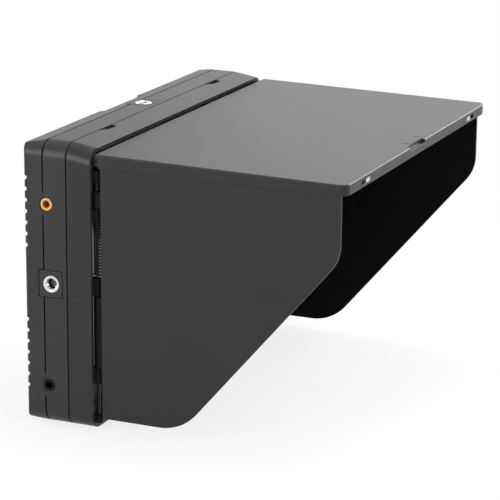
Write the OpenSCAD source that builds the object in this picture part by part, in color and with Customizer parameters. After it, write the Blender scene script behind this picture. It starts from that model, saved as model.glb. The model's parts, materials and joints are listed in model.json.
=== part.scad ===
/* [Monitor body] */
// Width of the monitor
body_w = 215; // [205:1:235]
// Height of the monitor
body_h = 150; // [146:1:165]
// Depth of the front half of the housing
front_depth = 13; // [12.6:0.2:15]
// Depth of the rear half of the housing
rear_depth = 11; // [10:0.2:13]
// Corner radius of the housing seen from the front
corner_r = 8.5; // [7:0.5:11]
// Radius of the upright edges at the back
back_edge_r = 2; // [1.5:0.25:4]
// How far the top and the bottom draw in towards the back
rear_taper = 2; // [1:0.1:2.2]
// Thickness of the side walls
wall = 2; // [1.8:0.1:2.3]
// Thickness of the front face round the screen
front_wall = 2.4; // [2.2:0.1:2.6]
// Thickness of the back face
back_wall = 3.2; // [2.8:0.1:3.4]
// Width of the shadow line between the two halves
seam_w = 0.6; // [0.4:0.1:1]
// Depth of the shadow line between the two halves
seam_d = 0.8; // [0.5:0.1:1.2]
// Length round each jack where the shadow line stops
seam_bridge = 12.4; // [10:0.2:14]

/* [Screen] */
// Distance from the housing's side to the picture
side_border = 11.75; // [11.25:0.25:14]
// Distance from the housing's top to the picture
top_border = 9.65; // [9.45:0.1:12]
// Distance from the housing's bottom to the picture
low_border = 20.65; // [20.45:0.1:24]
// Border of the cover glass round the picture
glass_border = 3.5; // [2.5:0.25:4]
// Thickness of the cover glass
glass_t = 1.1; // [0.8:0.1:1.2]
// Border of the display cell round the picture
cell_border = 1.8; // [1:0.2:2]
// Thickness of the display cell
cell_t = 1.2; // [0.9:0.1:1.4]
// Border of the backlight tray round the picture
tray_border = 2.4; // [2:0.1:2.8]
// Thickness of the backlight
backlight_t = 3.4; // [2.8:0.1:3.6]
// Metal thickness of the backlight tray
tray_wall = 0.5; // [0.4:0.1:0.8]

/* [Back of the monitor] */
// Width of the battery channel in the back
channel_w = 45; // [43:0.5:50]
// Depth of the battery channel
channel_d = 3; // [2.4:0.1:3.2]
// Height of the battery channel's lower end
channel_z = 34; // [28:1:40]
// Number of grooves in each group on the back
vent_count = 7; // [4:1:7]
// Spacing of the grooves
vent_pitch = 5.9; // [5:0.1:5.9]
// Height of one groove
vent_w = 2.2; // [1.6:0.1:2.4]
// Depth of one groove
vent_d = 1.9; // [1.2:0.1:2]
// Distance of each group's centre from the middle of the body
vent_mid = 37.5; // [36:0.5:38]
// Distance from the channel to the grooves' inner ends
vent_margin = 9; // [6:0.5:14]

/* [Tripod threads] */
// Distance from the screen face to the thread axes
thread_y = 9; // [8.6:0.1:9.4]
// Bore radius of a quarter inch thread
thread_r = 2.6; // [2.5:0.05:2.7]
// Outer radius of the metal insert
insert_r = 4.55; // [4.2:0.05:4.7]
// Length of the inserts
insert_len = 6.2; // [5.8:0.1:6.4]
// Side of the square trim plate
plate_w = 13.2; // [12:0.1:13.6]
// Length of the trim plate
plate_l = 14; // [13:0.2:15]
// Thickness of the trim plate
plate_t = 1.2; // [1:0.1:1.4]
// Corner radius of the trim plate
plate_r = 1; // [0.5:0.1:2]
// Gap round the trim plate
plate_gap = 0.25; // [0.15:0.05:0.4]

// Height of the side threads above the middle
thread_rise = 0.8; // [0:0.1:2]

/* [Sockets] */
// Distance from the thread axes to the socket axes
socket_y = 1.9; // [1.6:0.1:2.2]
// Distance from the top down to the video jack's axis
av_drop = 32.3; // [30:0.1:38]
// Height of the headphone jack's axis
phones_z = 21.4; // [18:0.2:25]
// Outer radius of the round jacks
jack_r = 3.15; // [2.9:0.05:3.3]
// Bore radius of the round jacks
jack_bore_r = 1.8; // [1.75:0.05:1.9]
// Length of the round jacks
jack_len = 13; // [12:0.5:14]
// Distance from the top down to the upper video socket's centre
video_drop = 31; // [27:0.5:32]
// Spacing of the two video sockets
video_pitch = 21; // [18:0.5:21.5]
// Opening of the video socket, long side
video_w = 14; // [13.9:0.05:14.1]
// Opening of the video socket, short side
video_h = 4.6; // [4.5:0.05:4.7]
// Metal thickness of the video socket
video_wall = 0.4; // [0.3:0.05:0.5]
// Depth of the video socket
video_len = 11; // [10:0.5:12]
// Height of the power socket's axis
power_z = 34; // [30:0.5:44]
// Bore radius of the power socket
power_bore_r = 2.8; // [2.7:0.05:2.9]
// Radius of the power socket's centre pin
power_pin_r = 1.05; // [1:0.05:1.15]

/* [Front buttons] */
// Height of the button row
button_z = 12.2; // [11.8:0.1:12.6]
// Spacing of the buttons
button_pitch = 12; // [10.5:0.5:13]
// Width of a button
button_w = 8; // [6:0.25:8.5]
// Height of a button
button_h = 3.8; // [3:0.1:4]
// How far a button stands out of the front
button_out = 0.8; // [0.4:0.1:1]
// Travel of a button
button_travel = 0.6; // [0.3:0.1:0.8]
// Gap round a button
button_gap = 0.25; // [0.15:0.05:0.35]

/* [Hood frame] */
// Depth of the hood frame
frame_d = 13.5; // [12.5:0.25:16]
// Gap between the hood frame and the monitor
hood_seam = 0.5; // [0.3:0.1:0.8]
// Thickness of the frame's rim
rim_t = 2.4; // [2:0.1:2.5]
// How much lower the rim is at its front edge
rim_drop = 2.2; // [1:0.1:3]
// Thickness of the frame's inner flange
flange_t = 2.2; // [1.8:0.1:2.6]
// Width of the inner flange at the sides
flange_w = 9; // [7:0.5:9.5]
// Height of the flange at the bottom
flange_low = 5.5; // [4.5:0.25:6]
// Height of the flange at the top
flange_high = 6.5; // [5.5:0.25:7]
// Length of the finger slots on top of the frame
slot_l = 17; // [13:0.5:22]
// Distance of the finger slots from the middle
slot_x = 65; // [50:1:80]
// Width of the finger slots
slot_w = 3; // [2:0.25:4]
// Depth of the finger slots at their deep end
slot_d = 1.6; // [1:0.1:1.8]
// Width of the tongues that hold the hood on
tongue_w = 12; // [8:0.5:16]
// Thickness of the tongues
tongue_t = 1.4; // [1:0.1:1.6]
// Length of the tongues
tongue_l = 3.4; // [2.6:0.2:4]

/* [Hood lid] */
// Length of the lid from the frame
lid_l = 136.8; // [120:0.2:140]
// Step from the front of the rim down to the lid
lid_step = 1.75; // [1.6:0.05:2]
// Thickness of the lid
lid_t = 1.6; // [1.4:0.1:1.8]
// Height of the lid's edge at the back
lid_edge_back = 7.2; // [6.6:0.1:7.6]
// Height of the lid's edge at the front
lid_edge_front = 5.6; // [5:0.1:6.4]
// Thickness of the lid's edge
lid_edge_t = 1.5; // [1.3:0.1:1.6]
// Distance from the frame's side to the lid's side
lid_inset = 1.4; // [1.2:0.1:1.6]
// Radius of the lid's front corners
lid_r = 5; // [3:0.5:8]
// Small rounding along the lid's upper edges
lid_soft_r = 0.6; // [0.3:0.1:0.9]
// Distance from the frame's front to the lid's plate
lid_gap = 2.4; // [2.2:0.1:2.6]
// Angle at which the lid droops onto the side panels
lid_droop = 0.8; // [0:0.1:1.2]
// Distance of the catch windows from the middle
catch_x = 80; // [60:1:90]
// Width of the catch windows
catch_w = 11; // [6:0.2:14]
// Height of the catch windows
catch_h = 2.2; // [1.6:0.1:2.6]

/* [Hood side panels] */
// Thickness of a side panel
panel_t = 1.8; // [1.5:0.1:2]
// Gap between the lid's edge and a side panel
panel_gap = 0.4; // [0.3:0.05:0.6]
// Reach of a side panel from the frame
panel_l = 133.3; // [115:0.1:134]
// Height of a side panel's lower edge
panel_z = 6.2; // [5.4:0.2:8]
// Height where the front edge meets the slope, sharp corner
slope_top_z = 106; // [96:0.5:112]
// Distance from the frame where the slope meets the lower edge, sharp corner
slope_low_y = 48.5; // [42:0.5:56]
// Radius of the upper corner
slope_top_r = 21; // [12:0.5:24]
// Radius of the lower corner
slope_low_r = 27; // [15:0.5:30]

/* [Hinges] */
// Radius of the side hinge knuckles
knuckle_r = 2.1; // [1.9:0.05:2.2]
// Radius of the hinge pins
pin_r = 0.8; // [0.7:0.05:0.9]
// Running clearance on the hinge pins
pin_play = 0.05; // [0.03:0.01:0.08]
// Gap between neighbouring knuckles
knuckle_gap = 0.4; // [0.3:0.05:0.5]
// Distance of the left hinge axis in front of the frame
hinge_out = 0.9; // [0.6:0.1:1.2]
// Gap between the two panels when they lie folded
fold_gap = 0.3; // [0.3:0.05:0.5]
// Distance from a hinge axis to its panel's rear edge
panel_back = 2.8; // [2.7:0.1:3]
// Height of the lid's hinge axis below the lid
lid_axis_low = 4.3; // [4.2:0.05:4.4]
// Radius of the lid's knuckles
lid_knuckle_r = 2.9; // [2.7:0.05:2.95]
// Radius of the frame's ears for the lid
lid_ear_r = 2.6; // [2.3:0.1:2.7]
// Length of the lid's knuckles
lid_knuckle_l = 6.5; // [5:0.1:7]

/* [Hinge springs] */
// Wire radius of the hinge springs
wire_r = 0.42; // [0.35:0.01:0.45]
// Radius of the coil to the middle of the wire
coil_r = 1.55; // [1.45:0.01:1.6]
// Number of whole turns in a coil
coil_turns = 17; // [12:1:18]
// Free space between a coil and the ears above and below it
coil_room = 0.78; // [0.5:0.01:1.2]
// Length of the spring's legs
leg_l = 8; // [5:0.5:12]

/* [Battery plate] */
// Width of the battery plate
batt_w = 39.6; // [38:0.2:41]
// Length of the battery plate
batt_l = 72; // [68:0.5:74]
// Thickness of the battery plate
batt_t = 1.6; // [1.4:0.1:2]
// Height of the battery rails above the plate
rail_h = 2.6; // [2.2:0.1:3]
// Travel of the battery catch
catch_travel = 1; // [0.6:0.1:1]

/* [Hidden] */
$fn = 48;
tiny = 0.01;
least_r = 0.5;
over = 1;
fit = 0.05;
half_w = body_w / 2;
mid_z = body_h / 2;
bezel_y = -thread_y;
seam_y = bezel_y + front_depth;
back_y = seam_y + rear_depth;
hood_y = bezel_y - hood_seam - frame_d;
frame_back_y = bezel_y - hood_seam;
screen_w = body_w - 2 * side_border;
screen_h = body_h - low_border - top_border;
screen_z = low_border + screen_h / 2;
av_z = body_h - av_drop;
video_in_z = body_h - video_drop;
channel_y = back_y - channel_d;
rim_front_z = body_h - rim_drop;
lid_z = rim_front_z - lid_step;
lid_half = half_w - lid_inset;
panel_x = lid_half - lid_edge_t - panel_gap;
hinge_x = panel_x - knuckle_r;
left_axis_y = hood_y - hinge_out;
right_axis_y = left_axis_y + panel_t + fold_gap;
lid_axis_y = hood_y - lid_gap + fit;
lid_axis_z = lid_z - lid_axis_low;
sides = ["left", "right", "top", "bottom"];
plate_shift = 0.2;
jack_rim = 0.8;
jack_end_t = 1;
block_floor = 0.4;
insert_floor = 0.8;
insert_flange_r = 5.4;
insert_flange_t = 1.2;
video_zs = [video_in_z, video_in_z - video_pitch];
socket_gap = 0.15;
video_inset = 0.2;
video_tongue_in = 1.5;
video_tongue_w = video_w - 2 * video_tongue_in;
video_tongue_t = 1.2;
video_end_t = 1;
tongue_back = 1;
power_rim_r = 4;
power_body_w = 9;
power_end_t = 1;
power_pin_back = 1;
glass_gap = 0.1;
cell_y = bezel_y + front_wall + 2 * fit;
tray_y = cell_y + cell_t + 2 * fit;
board_t = 1.6;
board_gap = 0.2;
board_y = socket_y + video_h / 2 + video_wall + board_gap;
board_x0 = -half_w + jack_len + board_gap;
board_under = 2.4;
board_x1 = half_w - video_len + board_under;
board_z0 = 14;
board_drop = 24;
board_z1 = body_h - board_drop;
post_left_in = 10;
post_right_in = 14;
post_end_in = 5;
board_post_xs = [board_x0 + post_left_in, board_x1 - post_right_in];
board_post_zs = [board_z0 + post_end_in, board_z1 - post_end_in];
board_post_r = 2.6;
board_screw_end = 1.4;
board_screw_tip_y = back_y - back_wall - board_screw_end;
// Chips on the main board as x, height above or below the middle, side and thickness
chip_list = [[-30, -5, 26, 2.4], [30, -1, 16, 1.4], [62, -35, 12, 1.2], [-62, 23, 10, 1.2]];
chips = [for (c = chip_list) [c[0], mid_z + c[1], c[2], c[3]]];
small_screw_r = 0.8;
small_head_r = 1.6;
small_head_t = 0.9;
screw_r = 0.95;
screw_clear_r = 1.1;
screw_head_r = 1.8;
screw_head_t = 1.4;
screw_gap = 0.15;
screw_boss_r = 2.4;
screw_tip_in = 3.4;
screw_tip_y = bezel_y + front_wall + screw_tip_in;
screw_sunk = 2.4;
screw_seat_y = back_y - screw_sunk;
screw_corner = 6.5;
screw_edge = 4.75;
screw_mid_x = 32;
screw_places = [for (s = [-1, 1]) each [[s * (half_w - screw_corner), screw_corner],
    [s * (half_w - screw_corner), body_h - screw_corner], [s * screw_mid_x, screw_edge],
    [s * screw_mid_x, body_h - screw_edge]]];
drive_len = 0.6;
drive_wide = 0.25;
button_xs = [for (i = [-3:3]) i * button_pitch];
button_lip = 0.6;
button_flange_gap = 0.2;
button_flange_y = bezel_y + front_wall + button_flange_gap;
button_flange_t = 0.9;
key_board_y = -2.4;
key_board_t = 1.2;
key_board_z0 = 9.6;
key_board_z1 = 17.2;
key_board_half = 50;
key_post_x = 46.5;
key_post_z = 13.4;
key_post_r = 1.9;
key_screw_l = 2.8;
key_screw_tip_y = key_board_y - key_screw_l;
switch_w = 3.4;
switch_h = 0.6;
button_stem_gap = 0.3;
button_stem_y = key_board_y - switch_h - button_travel - button_stem_gap;
jack_out = 0.2;
jack_body_w = 6.6;
ring_t = 0.75;
vent_zs = [for (s = [-1, 1], i = [0:vent_count - 1])
    mid_z + s * vent_mid + (i - (vent_count - 1) / 2) * vent_pitch];
vent_slot_h = 1;
vent_slot_in = 19.5;
vent_slot_out = 15.5;
vent_slot_x0 = channel_w / 2 + vent_slot_in;
vent_slot_x1 = half_w - vent_slot_out;
channel_wall = 2;
rail_w = 2;
rail_lip = 1.2;
rail_lip_t = 1;
rail_lip_l = 10;
batt_rise = 14;
batt_z = channel_z + batt_rise;
batt_stop = 1.5;
rail_lip_in = 4;
rail_lips = [batt_z + rail_lip_in, batt_z + batt_l / 2 - rail_lip_l / 2,
    batt_z + batt_l - rail_lip_l - rail_lip_in];
plate_screw_x = 13;
plate_screw_in = 12;
plate_screw_xs = [-plate_screw_x, plate_screw_x];
plate_screw_out = 1;
plate_screw_zs = [batt_z + plate_screw_in, batt_z + batt_l - plate_screw_in];
contact_pitch = 6;
contact_xs = [-contact_pitch, 0, contact_pitch];
contact_t = 0.8;
contact_rise = 6;
contact_z = batt_z + contact_rise;
contact_l = 5;
contact_y0 = board_y + board_t;
contact_out = 2;
contact_y1 = channel_y + batt_t + contact_out;
catch_half = 4.5;
catch_from_top = 9;
catch_z = batt_z + batt_l - catch_from_top;
catch_l = 5;
catch_lip = 0.8;
catch_left_out = 0.6;
catch_out = catch_travel + catch_left_out;
catch_flange_t = 0.7;
catch_flange_gap = 0.2;
catch_flange_y = channel_y - channel_wall - catch_flange_gap - catch_flange_t;
leaf_t = 0.2;
leaf_half = 4;
leaf_in = 1;
rim_angle = atan(rim_drop / (frame_d + hood_seam));
rim_split_z = 70;
rim_step = 0.02;
tongue_gap = 0.3;
tongue_low_in = 0.6;
tongue_high_in = 1.6;
tongue_zs = [flange_low - tongue_t - tongue_low_in, body_h - flange_high + tongue_high_in];
lid_back_y = hood_y - lid_gap;
lid_front_y = hood_y - lid_l;
lid_edge_in = 1.2;
lid_edge_y = lid_back_y - lid_edge_in;
ear_sunk = 0.5;
ear_back_y = frame_back_y - flange_t + ear_sunk;
lid_ear_l = 2.4;
ear_root = 1;
lid_ear_x0 = panel_x - lid_ear_l;
knuckle_x1 = lid_ear_x0 - knuckle_gap;
lid_recess_x0 = -16.4;
lid_recess_x1 = 6;
lid_recess_y = 2.4;
lid_recess_z = 1.8;
lid_cut_x = 9;
lid_cut_w = 0.5;
lid_cut_y0 = 2.6;
lid_cut_y1 = 7.4;
catch_drop = 3.2;
insert_t = 0.6;
catch_pad = 1;
catch_foot = 0.2;
panel_top_gap = 0.4;
panel_top_z = lid_z - lid_t - panel_top_gap;
panel_notch = 10.6;
panel_notch_gap = 0.35;
panel_notch_z = lid_axis_z - lid_knuckle_r - panel_notch_gap;
slope_run = panel_l - slope_low_y;
slope_rise = slope_top_z - panel_z;
slope_angle = atan(slope_rise / slope_run);
low_ear_z = 3.4;
low_ear_h = 4;
second_ear_z = 24.5;
ear_h = 8.5;
mid_ear_low = 3.6;
mid_ear_high = 5.8;
spring_drop = 39.6;
fourth_ear_h = 6.6;
top_ear_h = 6.2;
top_ear_drop = 13;
top_knuckle_h = 8.6;
top_ear_z = body_h - top_ear_drop;
spring_top_z = body_h - spring_drop;
spring_low_z = mid_z + mid_ear_high;
ears = [[low_ear_z, low_ear_z + low_ear_h], [second_ear_z, second_ear_z + ear_h],
    [mid_z - mid_ear_low, spring_low_z], [spring_top_z, spring_top_z + fourth_ear_h],
    [top_ear_z - top_ear_h, top_ear_z]];
panel_knuckles = [[ears[1][1] + knuckle_gap, ears[2][0] - knuckle_gap],
    [ears[3][1] + knuckle_gap, ears[3][1] + knuckle_gap + top_knuckle_h]];
pin_low_in = 0.8;
pin_top_in = 0.6;
pin_z0 = low_ear_z + pin_low_in;
pin_z1 = top_ear_z - pin_top_in;
coil_z = spring_low_z + coil_room + wire_r;
coil_pitch = (spring_top_z - spring_low_z - 2 * coil_room - 2 * wire_r) / coil_turns;
spring_steps = 8;
spring_sides = 6;
dark = [0.2, 0.2, 0.21];
darker = [0.13, 0.13, 0.14];
steel = [0.75, 0.75, 0.76];
green = [0.08, 0.3, 0.2];

module along_x(x0, x1) translate([x0, 0, 0]) rotate([90, 0, 90]) linear_extrude(x1 - x0) children();
module along_y(y0, y1) translate([0, y1, 0]) rotate([90, 0, 0]) linear_extrude(y1 - y0) children();
module along_z(z0, z1) translate([0, 0, z0]) linear_extrude(z1 - z0) children();
module box(low, high) translate(low) cube(high - low);
module both_sides() {
    children();
    mirror([1, 0, 0]) children();
}

// A rectangle between two corners with all four corners rounded
module round_rect(low, high, r) {
    translate([low[0] + r, low[1]]) square([high[0] - low[0] - 2 * r, high[1] - low[1]]);
    translate([low[0], low[1] + r]) square([high[0] - low[0], high[1] - low[1] - 2 * r]);
    for (x = [low[0] + r, high[0] - r], y = [low[1] + r, high[1] - r]) translate([x, y]) circle(r);
}

// Outline of the housing seen from the front
module outline(inset = 0)
    round_rect([-half_w + inset, inset], [half_w - inset, body_h - inset], corner_r - inset);

// The housing's outer form, or its cavity when inset, drawn in towards the back
module housing(inset, back_inset) {
    soft = max(back_edge_r - inset, least_r);
    front = bezel_y - corner_r;
    end = back_y - back_inset;
    drop = inset + rear_taper * (end - seam_y) / rear_depth;
    intersection() {
        along_y(bezel_y, end) outline(inset);
        along_x(-half_w, half_w) polygon([[front, inset], [seam_y, inset], [end, drop],
            [end, body_h - drop], [seam_y, body_h - inset], [front, body_h - inset]]);
        along_z(0, body_h) round_rect([-half_w + inset, front], [half_w - inset, end], soft);
    }
}

// The shadow line round the joint of the two halves
module seam_line() difference() {
    along_y(seam_y - seam_w / 2, seam_y + seam_w / 2) difference() {
        outline(-over);
        outline(seam_d);
    }
    for (z = [av_z, phones_z])
        box([-half_w - over, seam_y - over, z - seam_bridge / 2],
            [-half_w + wall, seam_y + over, z + seam_bridge / 2]);
}

// The front half's round tabs behind the seam that carry the round jacks
module jack_tabs(gap = 0) for (z = [av_z, phones_z])
    bar_x(-half_w, -half_w + wall, socket_y, z, jack_r + jack_rim + gap);

// Puts something on the left, right, top or bottom thread axis, pointing outwards
module at_side(side) {
    angle = side == "left" ? -90 : side == "right" ? 90 : side == "bottom" ? 180 : 0;
    x = side == "left" ? -half_w : side == "right" ? half_w : 0;
    z = side == "top" ? body_h : side == "bottom" ? 0 : mid_z + thread_rise;
    translate([x, 0, z]) rotate([0, angle, 0]) children();
}
module plate_shape(gap = 0)
    round_rect([-plate_l / 2 - gap, plate_shift - plate_w / 2 - gap],
        [plate_l / 2 + gap, plate_shift + plate_w / 2 + gap], plate_r + gap);
module thread_block() box([-plate_l / 2, bezel_y + front_wall - tiny, -insert_len - block_floor],
    [plate_l / 2, plate_shift + plate_w / 2, -plate_t]);
module thread_hole() {
    translate([0, 0, -plate_t]) linear_extrude(plate_t + over) plate_shape(plate_gap);
    translate([0, 0, -insert_len]) cylinder(r = insert_r, h = insert_len);
    translate([0, 0, -plate_t - insert_flange_t]) cylinder(r = insert_flange_r, h = insert_flange_t + over);
}
module rear_thread_notch() box([-plate_l / 2 - plate_gap, seam_y - over, -insert_len - over],
    [plate_l / 2 + plate_gap, plate_shift + plate_w / 2 + plate_gap, over]);
module trim_plate(side) color(dark) at_side(side) difference() {
    translate([0, 0, -plate_t]) linear_extrude(plate_t) plate_shape();
    translate([0, 0, -plate_t - over]) cylinder(r = insert_r + fit, h = plate_t + 2 * over);
}
module thread_insert(side) color(steel) at_side(side) difference() {
    union() {
        translate([0, 0, -insert_len]) cylinder(r = insert_r, h = insert_len);
        translate([0, 0, -plate_t - insert_flange_t]) cylinder(r = insert_flange_r, h = insert_flange_t);
    }
    translate([0, 0, -insert_len + insert_floor]) cylinder(r = thread_r, h = insert_len);
}
module trim_plate_left() trim_plate("left");
module trim_plate_right() trim_plate("right");
module trim_plate_top() trim_plate("top");
module trim_plate_bottom() trim_plate("bottom");
module thread_insert_left() thread_insert("left");
module thread_insert_right() thread_insert("right");
module thread_insert_top() thread_insert("top");
module thread_insert_bottom() thread_insert("bottom");

// A cylinder along X from one side of the monitor inwards
module bar_x(x0, x1, y, z, r) translate([x0, y, z]) rotate([0, 90, 0]) cylinder(r = r, h = x1 - x0);
// A cylinder along Y, starting at its front end
module bar_y(x, z, y0, y1, r) translate([x, y1, z]) rotate([90, 0, 0]) cylinder(r = r, h = y1 - y0);
module slab(half_x, half_z, y0, y1) box([-half_x, y0, screen_z - half_z], [half_x, y1, screen_z + half_z]);

// Openings for the sockets on the right, cut through both halves
module right_openings() {
    for (z = video_zs) box([half_w - wall - over, socket_y - video_h / 2 - video_wall - socket_gap,
        z - video_w / 2 - video_wall - socket_gap],
        [half_w + over, socket_y + video_h / 2 + video_wall + socket_gap,
            z + video_w / 2 + video_wall + socket_gap]);
    bar_x(half_w - wall - over, half_w + over, socket_y, power_z, power_rim_r + socket_gap);
}

module front_shell() color(dark) difference() {
    union() {
        difference() {
            along_y(bezel_y, seam_y) outline();
            along_y(bezel_y + front_wall, seam_y + over) outline(wall);
        }
        jack_tabs();
        for (side = sides) at_side(side) thread_block();
        for (p = screw_places) bar_y(p[0], p[1], bezel_y + front_wall - tiny, seam_y, screw_boss_r);
        for (x = [-key_post_x, key_post_x])
            bar_y(x, key_post_z, bezel_y + front_wall - tiny, key_board_y, key_post_r);
    }
    seam_line();
    slab(screen_w / 2 + glass_border + glass_gap, screen_h / 2 + glass_border + glass_gap,
        bezel_y - over, bezel_y + glass_t + 2 * fit);
    slab(screen_w / 2, screen_h / 2, bezel_y, bezel_y + front_wall + over);
    for (x = button_xs)
        box([x - button_w / 2 - button_gap, bezel_y - over, button_z - button_h / 2 - button_gap],
        [x + button_w / 2 + button_gap, bezel_y + front_wall + over, button_z + button_h / 2 + button_gap]);
    for (x = [-slot_x, slot_x], z = tongue_zs)
        box([x - tongue_w / 2 - tongue_gap, bezel_y - over, z - tongue_gap],
            [x + tongue_w / 2 + tongue_gap, bezel_y + front_wall + over, z + tongue_t + tongue_gap]);
    for (z = [av_z, phones_z]) bar_x(-half_w - over, -half_w + wall + over, socket_y, z, jack_r + fit);
    right_openings();
    for (side = sides) at_side(side) thread_hole();
    for (p = screw_places) bar_y(p[0], p[1], screw_tip_y - fit, seam_y + over, screw_r);
    for (x = [-key_post_x, key_post_x])
        bar_y(x, key_post_z, key_screw_tip_y - fit, key_board_y + over, small_screw_r);
}

module rear_shell() color(dark) difference() {
    union() {
        difference() {
            intersection() {
                housing(0, 0);
                box([-half_w, seam_y, 0], [half_w, back_y, body_h]);
            }
            intersection() {
                housing(wall, back_wall);
                box([-half_w, seam_y - over, 0], [half_w, back_y, body_h]);
            }
        }
        intersection() {
            box([-channel_w / 2 - wall, channel_y - channel_wall, channel_z - wall],
                [channel_w / 2 + wall, back_y - back_wall + tiny, body_h - wall + tiny]);
            housing(wall / 2, wall / 2);
        }
        for (p = screw_places) bar_y(p[0], p[1], seam_y, back_y - back_wall + tiny, screw_boss_r);
        for (x = board_post_xs, z = board_post_zs)
            bar_y(x, z, board_y + board_t, back_y - back_wall + tiny, board_post_r);
    }
    seam_line();
    jack_tabs(fit);
    right_openings();
    for (side = sides) at_side(side) rear_thread_notch();
    box([-channel_w / 2, channel_y, channel_z], [channel_w / 2, back_y + over, body_h + over]);
    both_sides() for (z = vent_zs) {
        box([channel_w / 2 + vent_margin, back_y - vent_d, z - vent_w / 2],
            [half_w + over, back_y + over, z + vent_w / 2]);
        box([vent_slot_x0, back_y - back_wall - over, z - vent_slot_h / 2],
            [vent_slot_x1, back_y, z + vent_slot_h / 2]);
    }
    for (p = screw_places) {
        bar_y(p[0], p[1], seam_y - over, back_y, screw_clear_r);
        bar_y(p[0], p[1], screw_seat_y, back_y + over, screw_head_r + screw_gap);
    }
    for (x = board_post_xs, z = board_post_zs) bar_y(x, z, board_y, board_screw_tip_y + fit, small_screw_r);
    for (x = plate_screw_xs, z = plate_screw_zs)
        bar_y(x, z, channel_y - channel_wall - over, channel_y + over, small_screw_r);
    for (x = contact_xs) contact_slot(x);
    catch_hole();
}

module screen_glass() color([0.05, 0.05, 0.06])
    slab(screen_w / 2 + glass_border, screen_h / 2 + glass_border, bezel_y + fit, bezel_y + fit + glass_t);
module display_cell() color([0.1, 0.1, 0.12])
    slab(screen_w / 2 + cell_border, screen_h / 2 + cell_border, cell_y, cell_y + cell_t);
module backlight_tray() color(steel) difference() {
    slab(screen_w / 2 + tray_border, screen_h / 2 + tray_border, tray_y, tray_y + backlight_t);
    slab(screen_w / 2 + tray_border - tray_wall, screen_h / 2 + tray_border - tray_wall,
        tray_y - over, tray_y + backlight_t - tray_wall);
}
module light_guide() color([0.9, 0.9, 0.92])
    slab(screen_w / 2 + tray_border - tray_wall - fit, screen_h / 2 + tray_border - tray_wall - fit,
        tray_y + fit, tray_y + backlight_t - tray_wall - fit);
module main_board() color(green) difference() {
    union() {
        box([board_x0, board_y, board_z0], [board_x1, board_y + board_t, board_z1]);
        for (c = chips)
            box([c[0] - c[2] / 2, board_y - c[3], c[1] - c[2] / 2],
                [c[0] + c[2] / 2, board_y + tiny, c[1] + c[2] / 2]);
    }
    for (x = board_post_xs, z = board_post_zs)
        bar_y(x, z, board_y - over, board_y + board_t + over, small_screw_r + fit);
}
module key_board() color(green) difference() {
    union() {
        box([-key_board_half, key_board_y, key_board_z0],
            [key_board_half, key_board_y + key_board_t, key_board_z1]);
        for (x = button_xs) box([x - switch_w / 2, key_board_y - switch_h, button_z - switch_w / 2],
            [x + switch_w / 2, key_board_y + tiny, button_z + switch_w / 2]);
    }
    for (x = [-key_post_x, key_post_x])
        bar_y(x, key_post_z, key_board_y - over, key_board_y + key_board_t + over, small_screw_r + fit);
}

module jack_body(z, r) difference() {
    union() {
        box([-half_w + wall, socket_y - jack_body_w / 2, z - jack_body_w / 2],
            [-half_w + jack_len, socket_y + jack_body_w / 2, z + jack_body_w / 2]);
        bar_x(-half_w - jack_out, -half_w + wall + tiny, socket_y, z, r);
    }
    bar_x(-half_w - over, -half_w + jack_len - jack_end_t, socket_y, z, jack_bore_r);
}
module av_jack() color(dark) jack_body(av_z, jack_r - ring_t);
module av_jack_ring() color([0.8, 0.5, 0.15]) difference() {
    bar_x(-half_w - jack_out, -half_w + wall - fit, socket_y, av_z, jack_r);
    bar_x(-half_w - over, -half_w + wall + over, socket_y, av_z, jack_r - ring_t + tiny);
}
module headphone_jack() color(darker) jack_body(phones_z, jack_r);
module video_socket(z) color(steel) {
    difference() {
        box([half_w - video_len, socket_y - video_h / 2 - video_wall, z - video_w / 2 - video_wall],
            [half_w - video_inset, socket_y + video_h / 2 + video_wall, z + video_w / 2 + video_wall]);
        box([half_w - video_len + video_end_t, socket_y - video_h / 2, z - video_w / 2],
            [half_w, socket_y + video_h / 2, z + video_w / 2]);
    }
    box([half_w - video_len + tiny, socket_y - video_tongue_t / 2, z - video_tongue_w / 2],
        [half_w - video_inset - tongue_back, socket_y + video_tongue_t / 2, z + video_tongue_w / 2]);
}
module video_in_socket() video_socket(video_zs[0]);
module video_out_socket() video_socket(video_zs[1]);
module power_socket() color(darker) {
    difference() {
        union() {
            box([board_x1 + socket_gap, socket_y - power_body_w / 2, power_z - power_body_w / 2],
                [half_w - wall, socket_y + power_body_w / 2, power_z + power_body_w / 2]);
            bar_x(half_w - wall - tiny, half_w, socket_y, power_z, power_rim_r);
        }
        bar_x(board_x1 + power_end_t + socket_gap, half_w + over, socket_y, power_z, power_bore_r);
    }
    bar_x(board_x1 + socket_gap + tiny, half_w - power_pin_back, socket_y, power_z, power_pin_r);
}

module button(i) color(darker) {
    x = button_xs[i];
    box([x - button_w / 2, bezel_y - button_out, button_z - button_h / 2],
        [x + button_w / 2, button_flange_y + tiny, button_z + button_h / 2]);
    box([x - button_w / 2 - button_lip, button_flange_y, button_z - button_h / 2 - button_lip],
        [x + button_w / 2 + button_lip, button_flange_y + button_flange_t,
            button_z + button_h / 2 + button_lip]);
    box([x - button_h / 2, button_flange_y + button_flange_t - tiny, button_z - button_h / 2],
        [x + button_h / 2, button_stem_y, button_z + button_h / 2]);
}
module power_button() button(0);
module input_button() button(1);
module menu_button() button(2);
module left_button() button(3);
module right_button() button(4);
module zoom_button() button(5);
module peak_button() button(6);

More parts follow.
